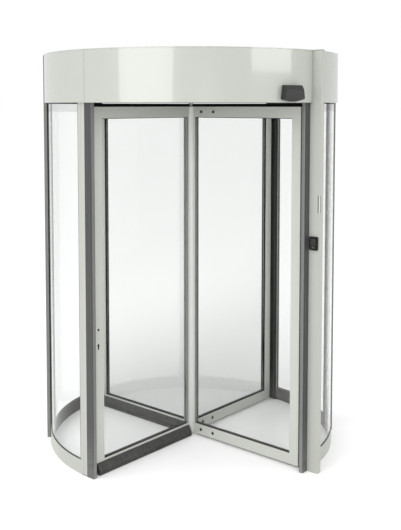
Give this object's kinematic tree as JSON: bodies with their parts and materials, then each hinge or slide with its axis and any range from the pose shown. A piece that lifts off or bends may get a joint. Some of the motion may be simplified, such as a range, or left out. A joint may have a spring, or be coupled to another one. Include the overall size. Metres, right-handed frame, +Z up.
{
  "type": "four-wing revolving door",
  "caption": "Revolving door with a glazed round drum, a shallow drum canopy and a rotor of framed glass wings on a centre shaft.",
  "frame": {"origin": "on the floor, on the vertical axis of the rotor", "axes": "+Z up, front entrance faces -Y, +X to the right seen from the front"},
  "size_m": [1.816, 1.7998, 2.39],
  "materials": {
    "canopy_finish": "satin powder coat, light silver grey",
    "ceiling_finish": "satin powder coat",
    "drum_profile": "satin powder coat on aluminium, light silver grey",
    "wing_profile": "satin powder coat on aluminium, light silver grey",
    "shaft_finish": "satin anodised",
    "bearing_finish": "cast, painted grey",
    "drum_glass": "clear laminated, curved",
    "wing_glass": "clear laminated, flat",
    "safety_edge_rubber": "matt, moulded",
    "bumper_rubber": "matt, moulded",
    "brush": "black bristle in a metal carrier",
    "reader_plastic": "black, fine texture",
    "indicator_plastic": "translucent white lens",
    "sensor_plastic": "dark grey housing with a tinted window"
  },
  "bodies": {
    "drum": {"fascia_front": "canopy_finish", "fascia_right": "canopy_finish", "fascia_rear": "canopy_finish", "fascia_left": "canopy_finish", "ceiling": "ceiling_finish", "top_cover": "canopy_finish", "bearing_housing": "bearing_finish", "base_rail_right": "drum_profile", "base_rail_left": "drum_profile", "drum_glass_right": "drum_glass", "drum_glass_left": "drum_glass", "side_post_right": "drum_profile", "side_post_left": "drum_profile", "throat_post_front_right": "drum_profile", "throat_post_front_left": "drum_profile", "throat_post_rear_left": "drum_profile", "throat_post_rear_right": "drum_profile", "safety_edge_front_right": "safety_edge_rubber", "safety_edge_front_left": "safety_edge_rubber", "safety_edge_rear_left": "safety_edge_rubber", "safety_edge_rear_right": "safety_edge_rubber", "reader_column_front": "drum_profile", "reader_column_rear": "drum_profile", "card_reader_front": "reader_plastic", "card_reader_rear": "reader_plastic", "indicator_lens_front": "indicator_plastic", "indicator_lens_rear": "indicator_plastic", "motion_sensor_front": "sensor_plastic", "motion_sensor_rear": "sensor_plastic"},
    "rotor": {"centre_shaft": "shaft_finish", "wing_frame_front_right": "wing_profile", "wing_frame_rear_right": "wing_profile", "wing_frame_rear_left": "wing_profile", "wing_frame_front_left": "wing_profile", "wing_glass_front_right": "wing_glass", "wing_glass_rear_right": "wing_glass", "wing_glass_rear_left": "wing_glass", "wing_glass_front_left": "wing_glass", "wing_brush_front_right": "brush", "wing_brush_rear_right": "brush", "wing_brush_rear_left": "brush", "wing_brush_front_left": "brush", "bumper_front_right": "bumper_rubber", "bumper_rear_right": "bumper_rubber", "bumper_rear_left": "bumper_rubber", "bumper_front_left": "bumper_rubber"}
  },
  "joints": [
    {"name": "rotor_turn", "type": "hinge", "parent": "drum", "child": "rotor", "pos_m": [0, 0, 2.16], "axis": [0, 0, 1], "continuous": true}
  ]
}
